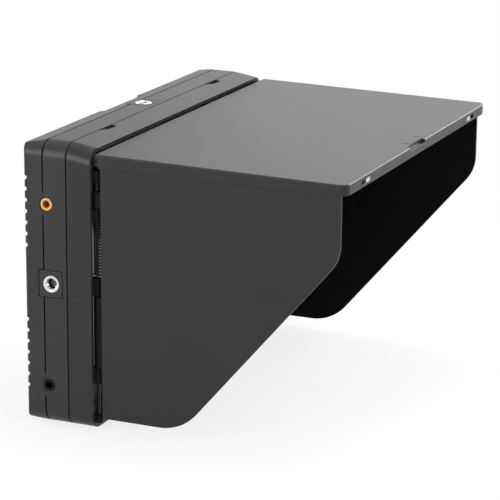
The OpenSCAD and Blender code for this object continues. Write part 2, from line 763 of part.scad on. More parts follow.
module contact_slot(x)
    box([x - contact_t / 2 - socket_gap, channel_y - channel_wall - over, contact_z - socket_gap],
    [x + contact_t / 2 + socket_gap, channel_y + batt_t + over, contact_z + contact_l + socket_gap]);
module catch_hole() box([-catch_half - button_gap, channel_y - channel_wall - over, catch_z - button_gap],
    [catch_half + button_gap, channel_y + batt_t + over, catch_z + catch_l + button_gap]);
module battery_plate() color(darker) difference() {
    union() {
        box([-batt_w / 2, channel_y, batt_z], [batt_w / 2, channel_y + batt_t, batt_z + batt_l]);
        both_sides() {
            box([batt_w / 2 - rail_w, channel_y + batt_t - tiny, batt_z],
                [batt_w / 2, channel_y + batt_t + rail_h, batt_z + batt_l]);
            for (z = rail_lips)
                box([batt_w / 2 - rail_w - rail_lip, channel_y + batt_t + rail_h - rail_lip_t, z],
                [batt_w / 2 - rail_w + tiny, channel_y + batt_t + rail_h, z + rail_lip_l]);
        }
        box([-batt_w / 2, channel_y + batt_t - tiny, batt_z],
            [batt_w / 2, channel_y + batt_t + rail_h, batt_z + batt_stop]);
    }
    for (x = plate_screw_xs, z = plate_screw_zs) {
        bar_y(x, z, channel_y - over, channel_y + batt_t + over, small_screw_r + fit);
        bar_y(x, z, channel_y + batt_t - small_head_t, channel_y + batt_t + over, small_head_r + fit);
    }
    for (x = contact_xs) contact_slot(x);
    catch_hole();
}
module battery_contacts() color([0.85, 0.7, 0.3]) for (x = contact_xs)
    box([x - contact_t / 2, contact_y0, contact_z], [x + contact_t / 2, contact_y1, contact_z + contact_l]);
module battery_catch() color(dark) {
    box([-catch_half, catch_flange_y, catch_z],
        [catch_half, channel_y + batt_t + catch_out, catch_z + catch_l]);
    box([-catch_half - catch_lip, catch_flange_y, catch_z - catch_lip],
        [catch_half + catch_lip, catch_flange_y + catch_flange_t, catch_z + catch_l + catch_lip]);
}
module catch_spring() color(steel) along_z(catch_z + leaf_in, catch_z + catch_l - leaf_in) {
    y0 = board_y + board_t + fit;
    y1 = catch_flange_y - fit;
    for (s = [-1, 1])
        polygon([[0, y0], [0, y0 + leaf_t], [s * leaf_half, y1], [s * leaf_half, y1 - leaf_t]]);
}

// A screw along Y with its head at the back
module screw_back(x, z, tip, seat, r, head_r, head_t) difference() {
    union() {
        bar_y(x, z, tip, seat + tiny, r);
        bar_y(x, z, seat, seat + head_t, head_r);
    }
    for (a = [0, 90]) translate([x, seat + head_t, z]) rotate([0, a, 0])
        translate([-head_r * drive_len, -head_t / 2, -r * drive_wide])
            cube([2 * head_r * drive_len, head_t, 2 * r * drive_wide]);
}
module shell_screws() color(steel) for (p = screw_places)
    screw_back(p[0], p[1], screw_tip_y, screw_seat_y, screw_r, screw_head_r, screw_head_t);
module board_screws() color(steel) {
    for (x = board_post_xs, z = board_post_zs) {
        bar_y(x, z, board_y - tiny, board_screw_tip_y, small_screw_r);
        bar_y(x, z, board_y - small_head_t, board_y, small_head_r);
    }
    for (x = [-key_post_x, key_post_x]) {
        bar_y(x, key_post_z, key_screw_tip_y, key_board_y + key_board_t + tiny, small_screw_r);
        bar_y(x, key_post_z, key_board_y + key_board_t, key_board_y + key_board_t + small_head_t,
            small_head_r);
    }
}
module plate_screws() color(steel) for (x = plate_screw_xs, z = plate_screw_zs)
    screw_back(x, z, channel_y - channel_wall - plate_screw_out, channel_y + batt_t - small_head_t,
        small_screw_r, small_head_r, small_head_t);

// The hood frame's outer or inner outline, drawn in towards the front
module rim_form(inset) {
    intersection() {
        along_y(hood_y - over, frame_back_y + over) outline(inset);
        box([-half_w, hood_y - over, 0], [half_w, frame_back_y + over, rim_split_z + tiny]);
    }
    intersection() {
        translate([0, bezel_y, body_h]) rotate([rim_angle, 0, 0]) translate([0, -bezel_y, -body_h])
            along_y(2 * hood_y, -hood_y) outline(inset + rim_step);
        box([-half_w, hood_y - over, rim_split_z], [half_w, frame_back_y + over, body_h]);
    }
}
module frame_ear(axis_y, z0, z1) {
    translate([hinge_x, axis_y, z0]) cylinder(r = knuckle_r, h = z1 - z0);
    box([hinge_x - knuckle_r, axis_y, z0], [panel_x, ear_back_y, z1]);
    box([panel_x - ear_root, hood_y, z0], [panel_x + ear_root, ear_back_y, z1]);
}
module lid_ear() {
    bar_x(lid_ear_x0, panel_x, lid_axis_y, lid_axis_z, lid_ear_r);
    box([lid_ear_x0, lid_axis_y, lid_axis_z - lid_ear_r], [panel_x, ear_back_y, lid_axis_z + lid_ear_r]);
    box([panel_x - ear_root, hood_y, lid_axis_z - lid_ear_r],
        [panel_x + ear_root, ear_back_y, lid_axis_z + lid_ear_r]);
}
module hinge_bore(axis_y, r) translate([hinge_x, axis_y, pin_z0]) cylinder(r = r, h = pin_z1 - pin_z0);
module hood_frame() color(dark) difference() {
    union() {
        difference() {
            intersection() {
                rim_form(0);
                box([-half_w, hood_y, 0], [half_w, frame_back_y, body_h]);
            }
            difference() {
                rim_form(rim_t);
                box([-half_w, frame_back_y - flange_t, 0], [half_w, frame_back_y + 2 * over, body_h]);
            }
            box([-half_w + rim_t + flange_w, hood_y, flange_low],
                [half_w - rim_t - flange_w, frame_back_y + over, body_h - flange_high]);
        }
        for (x = [-slot_x, slot_x], z = tongue_zs)
            box([x - tongue_w / 2, frame_back_y - tiny, z],
                [x + tongue_w / 2, frame_back_y + tongue_l, z + tongue_t]);
        for (e = ears) {
            frame_ear(right_axis_y, e[0], e[1]);
            mirror([1, 0, 0]) frame_ear(left_axis_y, e[0], e[1]);
        }
        both_sides() lid_ear();
    }
    for (x = [-slot_x, slot_x]) along_y(frame_back_y - slot_w, frame_back_y + over)
        polygon([[x - slot_l / 2, body_h], [x + slot_l / 4, body_h - slot_d],
            [x + slot_l / 2, body_h - slot_d],
            [x + slot_l / 2, body_h + over], [x - slot_l / 2, body_h + over]]);
    hinge_bore(right_axis_y, pin_r);
    mirror([1, 0, 0]) hinge_bore(left_axis_y, pin_r);
    both_sides() bar_x(lid_ear_x0 - over, panel_x + over, lid_axis_y, lid_axis_z, pin_r);
    spring_holes();
}

// The lid lies level here and is turned down onto its droop afterwards
module drooped() translate([0, lid_axis_y, lid_axis_z]) rotate([lid_droop, 0, 0])
    translate([0, -lid_axis_y, -lid_axis_z]) children();
module lid_outline(inset) intersection() {
    round_rect([-lid_half + inset, lid_front_y + inset], [lid_half - inset, lid_back_y + 2 * lid_r],
        lid_r - inset);
    translate([-half_w, lid_front_y]) square([body_w, lid_back_y - lid_front_y + (inset > 0 ? over : 0)]);
}
module lid_windows() both_sides()
    box([catch_x - catch_w / 2, lid_front_y - over, lid_z - catch_drop - catch_h / 2],
    [catch_x + catch_w / 2, lid_front_y + lid_edge_t + catch_pad + over, lid_z - catch_drop + catch_h / 2]);
module hood_lid() color(dark) drooped() difference() {
    union() {
        difference() {
            intersection() {
                along_z(lid_z - lid_edge_back, lid_z) lid_outline(0);
                along_y(lid_front_y, lid_back_y)
                    round_rect([-lid_half, lid_z - 2 * lid_edge_back], [lid_half, lid_z], lid_soft_r);
                along_x(-lid_half, lid_half) polygon([[lid_back_y, lid_z], [lid_back_y, lid_z - lid_t],
                    [lid_edge_y, lid_z - lid_t], [lid_edge_y, lid_z - lid_edge_back],
                    [lid_front_y, lid_z - lid_edge_front], [lid_front_y, lid_z - lid_soft_r],
                    [lid_front_y + lid_soft_r, lid_z]]);
            }
            along_z(lid_z - 2 * lid_edge_back, lid_z - lid_t) lid_outline(lid_edge_t);
        }
        both_sides() {
            bar_x(knuckle_x1 - lid_knuckle_l, knuckle_x1, lid_axis_y, lid_axis_z, lid_knuckle_r);
            box([knuckle_x1 - lid_knuckle_l, lid_axis_y - lid_knuckle_r, lid_axis_z],
                [knuckle_x1, lid_back_y, lid_z - lid_t + tiny]);
            box([catch_x - catch_w / 2 - catch_pad, lid_front_y + lid_edge_t - tiny,
                lid_z - lid_edge_front + catch_foot],
                [catch_x + catch_w / 2 + catch_pad, lid_front_y + lid_edge_t + catch_pad,
                    lid_z - lid_t + tiny]);
        }
        box([lid_recess_x0 - lid_t, lid_front_y + lid_edge_t - tiny, lid_z - lid_recess_z - lid_t],
            [lid_recess_x1 + lid_t, lid_front_y + lid_recess_y + lid_t, lid_z - lid_t + tiny]);
    }
    box([lid_recess_x0, lid_front_y - over, lid_z - lid_recess_z],
        [lid_recess_x1, lid_front_y + lid_recess_y, lid_z + over]);
    both_sides() {
        box([lid_cut_x - lid_cut_w / 2, lid_front_y + lid_cut_y0, lid_z - lid_cut_w],
            [lid_cut_x + lid_cut_w / 2, lid_front_y + lid_cut_y1, lid_z + over]);
        bar_x(knuckle_x1 - lid_knuckle_l - over, knuckle_x1 + over, lid_axis_y, lid_axis_z,
            pin_r + pin_play);
    }
    lid_windows();
}
module catch_inserts() color(steel) drooped() both_sides() difference() {
    box([catch_x - catch_w / 2 + fit, lid_front_y + fit, lid_z - catch_drop - catch_h / 2 + fit],
        [catch_x - fit, lid_front_y + lid_edge_t + catch_pad, lid_z - catch_drop + catch_h / 2 - fit]);
    box([catch_x - catch_w / 2, lid_front_y + insert_t, lid_z - catch_drop - catch_h / 2 + insert_t],
        [catch_x - insert_t, lid_front_y + lid_edge_t + catch_pad + over,
            lid_z - catch_drop + catch_h / 2 - insert_t]);
}
module lid_pins() color(steel) both_sides()
    bar_x(knuckle_x1 - lid_knuckle_l, panel_x, lid_axis_y, lid_axis_z, pin_r);

// The quarter disc that rounds a corner between two directions, with its straight cut
module slope_side() {
    top_t = slope_top_r * tan((90 - slope_angle) / 2);
    low_t = slope_low_r * tan(slope_angle / 2);
    c = cos(slope_angle);
    n = sin(slope_angle);
    front = hood_y - panel_l;
    low = hood_y - slope_low_y;
    polygon([[0, panel_z], [0, body_h], [front, body_h], [front, slope_top_z + top_t],
        [front + top_t * c, slope_top_z - top_t * n], [low - low_t * c, panel_z + low_t * n],
            [low + low_t, panel_z]]);
    intersection() {
        translate([front + slope_top_r, slope_top_z + top_t]) circle(slope_top_r, $fn = 96);
        polygon([[front, slope_top_z + top_t], [front, slope_top_z],
            [front + top_t * c, slope_top_z - top_t * n]]);
    }
    intersection() {
        translate([low + low_t, panel_z + slope_low_r]) circle(slope_low_r, $fn = 96);
        polygon([[low - low_t * c, panel_z + low_t * n], [low, panel_z], [low + low_t, panel_z]]);
    }
}
module side_panel(axis_y) color(dark) difference() {
    union() {
        intersection() {
            along_x(panel_x - panel_t, panel_x) slope_side();
            drooped() box([0, 2 * lid_front_y, -body_h], [half_w, axis_y - panel_back, panel_top_z]);
            box([0, 2 * lid_front_y, 0], [half_w, axis_y - panel_back, body_h]);
        }
        for (k = panel_knuckles) {
            translate([hinge_x, axis_y, k[0]]) cylinder(r = knuckle_r, h = k[1] - k[0]);
            box([panel_x - panel_t, axis_y - panel_back - over, k[0]], [panel_x, axis_y, k[1]]);
        }
    }
    box([0, axis_y - panel_notch, panel_notch_z], [half_w, axis_y, body_h]);
    hinge_bore(axis_y, pin_r + pin_play);
}
module left_panel() mirror([1, 0, 0]) side_panel(left_axis_y);
module right_panel() side_panel(right_axis_y);
module hinge_pin(axis_y) color(steel) hinge_bore(axis_y, pin_r);
module left_hinge_pin() mirror([1, 0, 0]) hinge_pin(left_axis_y);
module right_hinge_pin() hinge_pin(right_axis_y);

// Middle line of a hinge spring round the origin: back leg, coil, leg on the panel
function spring_path(reach, turns, swing) = concat(
    [[coil_r, reach, 0]],
    [for (i = [0:turns * spring_steps]) [coil_r * cos(-360 * i / spring_steps),
        coil_r * sin(-360 * i / spring_steps),
        coil_pitch * i / spring_steps]],
    [[coil_r * cos(swing), -coil_r * sin(swing), coil_pitch * turns],
        [coil_r * cos(swing) - leg_l * sin(swing), -coil_r * sin(swing) - leg_l * cos(swing),
            coil_pitch * turns]]);
function unit(v) = v / norm(v);
// A ring of points square to the path, its first point turned upwards
function ring(path, i) =
    let (a = path[max(i - 1, 0)], b = path[min(i + 1, len(path) - 1)], d = unit(b - a),
        side = unit(cross(d, [0, 0, 1])), up = cross(side, d))
    [for (k = [0:spring_sides - 1])
        path[i] + wire_r * (side * sin(360 * k / spring_sides) + up * cos(360 * k / spring_sides))];
module wire(path) {
    n = len(path);
    points = [for (i = [0:n - 1]) each ring(path, i)];
    first = [for (k = [1:spring_sides - 2]) [0, k, k + 1]];
    last = [for (k = [1:spring_sides - 2]) [0, k + 1, k] + (n - 1) * spring_sides * [1, 1, 1]];
    skin = [for (i = [0:n - 2], k = [0:spring_sides - 1]) let (a = i * spring_sides + k,
        b = i * spring_sides + (k + 1) % spring_sides) each [[a, a + spring_sides, b],
            [b, a + spring_sides, b + spring_sides]]];
    polyhedron(points, concat(first, last, skin));
}
spring_swing = acos((wire_r + fit - knuckle_r + panel_t) / norm([coil_r, leg_l])) - atan(leg_l / coil_r);
spring_line = spring_path(ear_back_y - left_axis_y, coil_turns, spring_swing);
echo(spring_gap = min([for (i = [0:len(spring_line) - 1], j = [i + spring_steps / 2:len(spring_line) - 1])
    norm(spring_line[i] - spring_line[j])]) - 2 * wire_r);
module hinge_spring(axis_y) color(steel) translate([hinge_x, axis_y, coil_z])
    mirror([1, 0, 0]) wire(spring_path(ear_back_y + tiny - axis_y, coil_turns, spring_swing));
module spring_holes() {
    translate([hinge_x - coil_r, right_axis_y, coil_z]) bar_y(0, 0, 0, ear_back_y + over - right_axis_y,
        2 * wire_r);
    mirror([1, 0, 0]) translate([hinge_x - coil_r, left_axis_y, coil_z])
        bar_y(0, 0, 0, ear_back_y + over - left_axis_y, 2 * wire_r);
}
module left_hinge_spring() mirror([1, 0, 0]) hinge_spring(left_axis_y);
module right_hinge_spring() hinge_spring(right_axis_y);

front_shell();
rear_shell();
screen_glass();
display_cell();
backlight_tray();
light_guide();
main_board();
key_board();
trim_plate_left();
trim_plate_right();
trim_plate_top();
trim_plate_bottom();
thread_insert_left();
thread_insert_right();
thread_insert_top();
thread_insert_bottom();
av_jack();
av_jack_ring();
headphone_jack();
video_in_socket();
video_out_socket();
power_socket();
power_button();
input_button();
menu_button();
left_button();
right_button();
zoom_button();
peak_button();
battery_plate();
battery_contacts();
battery_catch();
catch_spring();
shell_screws();
board_screws();
plate_screws();
hood_frame();
hood_lid();
lid_pins();
catch_inserts();
left_panel();
right_panel();
left_hinge_pin();
right_hinge_pin();
left_hinge_spring();
right_hinge_spring();
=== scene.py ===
import json
import math

import bmesh
import bpy
from mathutils import Matrix, Vector


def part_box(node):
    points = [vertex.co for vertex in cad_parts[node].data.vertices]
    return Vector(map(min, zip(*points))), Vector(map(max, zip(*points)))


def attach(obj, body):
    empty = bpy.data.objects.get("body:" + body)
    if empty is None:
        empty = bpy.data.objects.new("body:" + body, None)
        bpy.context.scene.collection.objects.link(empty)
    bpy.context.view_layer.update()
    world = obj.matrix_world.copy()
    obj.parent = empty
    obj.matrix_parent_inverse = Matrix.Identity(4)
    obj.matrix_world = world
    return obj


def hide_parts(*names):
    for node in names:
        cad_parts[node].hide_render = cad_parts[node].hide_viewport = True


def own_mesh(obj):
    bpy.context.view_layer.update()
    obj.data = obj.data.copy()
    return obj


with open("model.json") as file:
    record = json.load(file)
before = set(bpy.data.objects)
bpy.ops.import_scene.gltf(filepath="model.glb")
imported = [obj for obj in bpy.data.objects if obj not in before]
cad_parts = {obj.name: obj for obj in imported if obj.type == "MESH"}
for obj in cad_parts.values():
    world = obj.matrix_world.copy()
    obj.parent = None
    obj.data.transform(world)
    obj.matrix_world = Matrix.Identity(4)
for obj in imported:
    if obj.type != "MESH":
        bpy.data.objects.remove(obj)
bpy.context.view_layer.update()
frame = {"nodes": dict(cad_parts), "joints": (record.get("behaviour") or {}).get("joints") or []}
scene = bpy.context.scene
nodes = frame["nodes"]
joints = {joint["name"]: joint for joint in frame["joints"]}
mm = 0.001


# Camera at the photograph's viewing angle, solved from the object's straight edges
cameraSettings = {
    "lookAt": Vector((0.0, -0.080, 0.0741)),
    "distance": 1.2479,
    "azimuth": -67.218,
    "elevation": 15.682,
    "roll": 0.65,
    "lens": 167.08,
    "shiftX": -0.0556,
    "shiftY": 0.008,
}


def makeCamera(settings):
    azimuth = math.radians(settings["azimuth"])
    elevation = math.radians(settings["elevation"])
    back = Vector((
        math.sin(azimuth) * math.cos(elevation),
        -math.cos(azimuth) * math.cos(elevation),
        math.sin(elevation),
    ))
    right = Vector((math.cos(azimuth), math.sin(azimuth), 0))
    up = back.cross(right)
    level = Matrix((right, up, back)).transposed()
    turned = level @ Matrix.Rotation(math.radians(settings["roll"]), 3, "Z")
    data = bpy.data.cameras.new("camera")
    data.lens = settings["lens"]
    data.shift_x = settings["shiftX"]
    data.shift_y = settings["shiftY"]
    camera = bpy.data.objects.new("camera", data)
    place = settings["lookAt"] + back * settings["distance"]
    camera.matrix_world = Matrix.Translation(place) @ turned.to_4x4()
    scene.collection.objects.link(camera)
    scene.camera = camera


makeCamera(cameraSettings)
print("camera placed")


# Shader effects that several materials share
def newGroup(name, inputs, outputs):
    group = bpy.data.node_groups.new(name, "ShaderNodeTree")
    for title, kind, value in inputs:
        socket = group.interface.new_socket(title, in_out="INPUT", socket_type=kind)
        socket.default_value = value
    for title, kind in outputs:
        group.interface.new_socket(title, in_out="OUTPUT", socket_type=kind)
    return group, group.nodes.new("NodeGroupInput"), group.nodes.new("NodeGroupOutput")


# A new node; each link is an input with the output or the value that it takes
def addNode(tree, kind, links=(), **values):
    node = tree.nodes.new(kind)
    for name, value in values.items():
        setattr(node, name, value)
    for socket, source in links:
        if hasattr(source, "is_output"):
            tree.links.new(source, node.inputs[socket])
        else:
            node.inputs[socket].default_value = source
    return node


grainSettings = {
    "detail": 2.0,
    "roughness": 0.55,
    "depth": 0.0001,
    "cloud": 22.0,
    "cloudDetail": 3.0,
}


def buildGrain(settings):
    group, start, end = newGroup(
        "mouldedGrain",
        [("Size", "NodeSocketFloat", 0.5), ("Strength", "NodeSocketFloat", 0.3)],
        [
            ("Normal", "NodeSocketVector"),
            ("Speckle", "NodeSocketFloat"),
            ("Cloud", "NodeSocketFloat"),
        ],
    )
    place = addNode(group, "ShaderNodeTexCoord").outputs["Object"]
    size = start.outputs["Size"]  # of one grain in millimetres
    scale = addNode(group, "ShaderNodeMath", [(0, 1 / mm), (1, size)], operation="DIVIDE")
    fine = addNode(group, "ShaderNodeTexNoise", [
        ("Vector", place),
        ("Scale", scale.outputs[0]),
        ("Detail", settings["detail"]),
        ("Roughness", settings["roughness"]),
    ])
    pits = addNode(group, "ShaderNodeTexVoronoi", [("Vector", place), ("Scale", scale.outputs[0])])
    both = addNode(
        group, "ShaderNodeMath", [(0, fine.outputs[0]), (1, pits.outputs[0])], operation="ADD"
    )
    bump = addNode(group, "ShaderNodeBump", [
        ("Height", both.outputs[0]),
        ("Strength", start.outputs["Strength"]),
        ("Distance", settings["depth"]),
    ])
    cloud = addNode(group, "ShaderNodeTexNoise", [
        ("Vector", place),
        ("Scale", settings["cloud"]),
        ("Detail", settings["cloudDetail"]),
    ])
    group.links.new(bump.outputs[0], end.inputs["Normal"])
    group.links.new(fine.outputs[0], end.inputs["Speckle"])
    group.links.new(cloud.outputs[0], end.inputs["Cloud"])
    return group


streakSettings = {"scale": 400.0, "detail": 4.0, "strength": 0.15, "depth": 0.0001}


def buildStreaks(settings):
    group, start, end = newGroup(
        "brushedStreaks",
        [("Stretch", "NodeSocketVector", (1.0, 1.0, 1.0))],
        [("Normal", "NodeSocketVector"), ("Lines", "NodeSocketFloat")],
    )
    place = addNode(group, "ShaderNodeTexCoord")
    stretch = addNode(group, "ShaderNodeMapping", [
        ("Vector", place.outputs["Object"]),
        ("Scale", start.outputs["Stretch"]),
    ])
    lines = addNode(group, "ShaderNodeTexNoise", [
        ("Vector", stretch.outputs[0]),
        ("Scale", settings["scale"]),
        ("Detail", settings["detail"]),
    ])
    bump = addNode(group, "ShaderNodeBump", [
        ("Height", lines.outputs[0]),
        ("Strength", settings["strength"]),
        ("Distance", settings["depth"]),
    ])
    group.links.new(bump.outputs[0], end.inputs["Normal"])
    group.links.new(lines.outputs[0], end.inputs["Lines"])
    return group


grain = buildGrain(grainSettings)
streaks = buildStreaks(streakSettings)


def newMaterial(name):
    material = bpy.data.materials.new(name)
    material.use_nodes = True
    tree = material.node_tree
    return material, tree, tree.nodes["Principled BSDF"]


# How far the roughness strays to either side of its written value
roughSpread = {"plasticDown": 0.06, "plasticUp": 0.06, "metalDown": 0.08, "metalUp": 0.1}


def mouldedPlastic(name, dark, light, rough, size, strength, specular=0.5):
    material, tree, shader = newMaterial(name)
    effect = addNode(
        tree, "ShaderNodeGroup", [("Size", size), ("Strength", strength)], node_tree=grain
    )
    tone = addNode(tree, "ShaderNodeMix", [
        (0, effect.outputs["Cloud"]), (6, (*dark, 1)), (7, (*light, 1))
    ], data_type="RGBA")
    roughness = addNode(tree, "ShaderNodeMapRange", [
        (0, effect.outputs["Speckle"]),
        (3, rough - roughSpread["plasticDown"]),
        (4, rough + roughSpread["plasticUp"]),
    ])
    tree.links.new(tone.outputs[2], shader.inputs["Base Color"])
    tree.links.new(roughness.outputs[0], shader.inputs["Roughness"])
    tree.links.new(effect.outputs["Normal"], shader.inputs["Normal"])
    shader.inputs["Specular IOR Level"].default_value = specular
    return material


def brushedMetal(name, colour, rough, stretch):
    material, tree, shader = newMaterial(name)
    effect = addNode(tree, "ShaderNodeGroup", [("Stretch", stretch)], node_tree=streaks)
    roughness = addNode(tree, "ShaderNodeMapRange", [
        (0, effect.outputs["Lines"]),
        (3, rough - roughSpread["metalDown"]),
        (4, rough + roughSpread["metalUp"]),
    ])
    tree.links.new(roughness.outputs[0], shader.inputs["Roughness"])
    tree.links.new(effect.outputs["Normal"], shader.inputs["Normal"])
    shader.inputs["Base Color"].default_value = (*colour, 1)
    shader.inputs["Metallic"].default_value = 1
    return material


screenSettings = {
    "colour": (0.006, 0.007, 0.009),
    "roughLow": 0.05,
    "roughHigh": 0.14,
    "smudge": 30.0,
    "detail": 4.0,
    "coat": 0.6,
    "coatRoughness": 0.04,
}


def screenMaterial(name, settings):
    material, tree, shader = newMaterial(name)
    place = addNode(tree, "ShaderNodeTexCoord")
    smudge = addNode(tree, "ShaderNodeTexNoise", [
        ("Vector", place.outputs["Object"]),
        ("Scale", settings["smudge"]),
        ("Detail", settings["detail"]),
    ])
    roughness = addNode(tree, "ShaderNodeMapRange", [
        (0, smudge.outputs[0]), (3, settings["roughLow"]), (4, settings["roughHigh"])
    ])
    tree.links.new(roughness.outputs[0], shader.inputs["Roughness"])
    shader.inputs["Base Color"].default_value = (*settings["colour"], 1)
    shader.inputs["Coat Weight"].default_value = settings["coat"]
    shader.inputs["Coat Roughness"].default_value = settings["coatRoughness"]
    return material


# Dark tone, light tone, roughness, grain size in millimetres, grain strength, specular level
plasticSettings = {
    "shellPlastic": ((0.024, 0.024, 0.025), (0.032, 0.032, 0.034), 0.36, 0.42, 0.3, 0.2),
    "hoodPlastic": ((0.019, 0.019, 0.021), (0.026, 0.026, 0.028), 0.33, 0.36, 0.25, 0.2),
    # Near-black plastic: partly the hood's matte lining, partly painted shade on the hood's inner
    # faces, the lid's underside and the seam faces
    "liningAndShadePlastic": ((0.004, 0.004, 0.0045), (0.007, 0.007, 0.0075), 0.85, 0.5, 0.5, 0.08),
    "trimPlastic": ((0.018, 0.018, 0.019), (0.025, 0.025, 0.026), 0.4, 0.3, 0.2, 0.3),
    "keyPlastic": ((0.014, 0.014, 0.015), (0.02, 0.02, 0.021), 0.36, 0.25, 0.15, 0.35),
    "socketPlastic": ((0.006, 0.006, 0.007), (0.01, 0.01, 0.011), 0.35, 0.25, 0.08, 0.3),
    "jackPlastic": ((0.002, 0.002, 0.002), (0.004, 0.004, 0.004), 0.5, 0.25, 0.08, 0.12),
    # Painted shadow for the hinge knuckles, which sit in a deep shaded gap
    "knuckleShadowPaint": ((0.003, 0.003, 0.0035), (0.005, 0.005, 0.0055), 0.6, 0.3, 0.2, 0.12),
    "orangePlastic": ((0.78, 0.42, 0.12), (0.84, 0.48, 0.15), 0.5, 0.3, 0.05),
    "deepOrange": ((0.5, 0.17, 0.008), (0.6, 0.21, 0.012), 0.4, 0.3, 0.05, 0.3),
    "boardLaminate": ((0.012, 0.09, 0.05), (0.02, 0.13, 0.07), 0.35, 0.3, 0.1),
    "guidePlastic": ((0.8, 0.8, 0.82), (0.86, 0.86, 0.88), 0.25, 0.4, 0.05),
}

# Colour, roughness, and how closely the streaks lie along each axis
metalSettings = {
    "steelMetal": ((0.55, 0.55, 0.56), 0.3, (1.0, 6.0, 1.0)),
    "springSteel": ((0.03, 0.03, 0.031), 0.22, (1.0, 1.0, 8.0)),
    # Darker metal that paints the shade deep inside the tripod inserts' bores
    "boreShadeMetal": ((0.1, 0.1, 0.1), 0.25, (1.0, 1.0, 1.0)),
    "platedMetal": ((0.74, 0.74, 0.75), 0.16, (1.0, 1.0, 1.0)),
    "contactGold": ((0.83, 0.62, 0.26), 0.22, (1.0, 5.0, 1.0)),
    "trayMetal": ((0.6, 0.6, 0.62), 0.35, (5.0, 1.0, 1.0)),
}

finishes = {}
for name, values in plasticSettings.items():
    finishes[name] = mouldedPlastic(name, *values)
for name, values in metalSettings.items():
    finishes[name] = brushedMetal(name, *values)
finishes["screenBlack"] = screenMaterial("screenBlack", screenSettings)
print("materials made")


# Turning a CAD node into a dressed copy with soft edges; angles in degrees
meshSettings = {"weld": 2e-6, "flat": 0.6, "bevelFrom": 32, "sharp": 38, "evenWeight": 100}

# Where a plane parts each panel from its knuckles, along y, so the knuckles can take painted shadow
hingeStrip = {"left_panel": -27.1 * mm, "right_panel": -25.0 * mm}

# Planes in millimetres that cut the flat faces of the shells into simple ones
shellCuts = {
    "x": (-90, -54, -36, -24, -12, 0, 12, 24, 36, 54, 90),
    "z": (12.2, 21.4, 75.8, 98, 119),
}


def cutAcross(shape, axis, place):
    normal = Vector((axis == "x", axis == "y", axis == "z"))
    parts = list(shape.verts) + list(shape.edges) + list(shape.faces)
    bmesh.ops.bisect_plane(shape, geom=parts, plane_co=normal * place, plane_no=normal)


def joinedMesh(node):
    mesh = nodes[node].data.copy()
    shape = bmesh.new()
    shape.from_mesh(mesh)
    bmesh.ops.remove_doubles(shape, verts=shape.verts, dist=meshSettings["weld"])
    flat = math.radians(meshSettings["flat"])
    bmesh.ops.dissolve_limit(shape, angle_limit=flat, verts=shape.verts, edges=shape.edges)
    if node in ("front_shell", "rear_shell"):
        for axis, places in shellCuts.items():
            for place in places:
                cutAcross(shape, axis, place * mm)
    elif node in hingeStrip:
        cutAcross(shape, "y", hingeStrip[node])
    elif node.endswith(("_button", "_jack")):
        bmesh.ops.connect_verts_concave(shape, faces=shape.faces)
    shape.to_mesh(mesh)
    shape.free()
    return mesh


def finishMesh(piece, materials, sharp):
    piece.data.materials.clear()
    for material in materials:
        piece.data.materials.append(finishes[material])
    for face in piece.data.polygons:
        face.use_smooth = True
    piece.data.set_sharp_from_angle(angle=math.radians(sharp))


def applied(piece):
    bpy.context.view_layer.update()
    solved = piece.evaluated_get(bpy.context.evaluated_depsgraph_get())
    mesh = bpy.data.meshes.new_from_object(solved)
    piece.modifiers.clear()
    piece.data = mesh


def dressNode(node, body, materials, edge, segments=2):
    piece = bpy.data.objects.new(node + "_skin", joinedMesh(node))
    scene.collection.objects.link(piece)
    bevel = piece.modifiers.new("softEdges", "BEVEL")
    bevel.width = edge
    bevel.segments = segments
    bevel.limit_method = "ANGLE"
    bevel.angle_limit = math.radians(meshSettings["bevelFrom"])
    bevel.use_clamp_overlap = False
    bevel.miter_outer = "MITER_ARC"
    applied(piece)
    low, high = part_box(node)  # no soft edge reaches past the CAD's own box
    for vertex in piece.data.vertices:
        vertex.co = [min(max(vertex.co[i], low[i]), high[i]) for i in range(3)]
    finishMesh(piece, materials, meshSettings["sharp"])
    even = piece.modifiers.new("evenShading", "WEIGHTED_NORMAL")
    even.keep_sharp = True
    even.weight = meshSettings["evenWeight"]
    applied(piece)
    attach(piece, body)
    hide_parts(node)
    return piece


def meshPiece(name, points, faces, body, materials, sharp):
    mesh = bpy.data.meshes.new(name)
    mesh.from_pydata([tuple(point) for point in points], [], faces)
    piece = bpy.data.objects.new(name, mesh)
    scene.collection.objects.link(piece)
    finishMesh(piece, materials, sharp)
    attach(piece, body)
    return piece


# Four-sided faces between neighbouring rings of points
def ringFaces(rings, around):
    faces = []
    for i in range(rings - 1):
        for k in range(around):
            a = i * around + k
            b = i * around + (k + 1) % around
            faces.append((a, b, b + around, a + around))
    return faces


# A round tube along a list of points, turned without twist, closed at both ends
def tubeAlong(path, radius, sides):
    points = []
    across = None
    for i, place in enumerate(path):
        ahead = (path[min(i + 1, len(path) - 1)] - path[max(i - 1, 0)]).normalized()
        if across is None:
            across = ahead.orthogonal().normalized()
        across = (across - ahead * across.dot(ahead)).normalized()
        other = ahead.cross(across)
        for k in range(sides):
            turn = 2 * math.pi * k / sides
            points.append(place + radius * (across * math.cos(turn) + other * math.sin(turn)))
    faces = ringFaces(len(path), sides)
    last = (len(path) - 1) * sides
    faces.append(tuple(reversed(range(sides))))
    faces.append(tuple(last + k for k in range(sides)))
    return points, faces


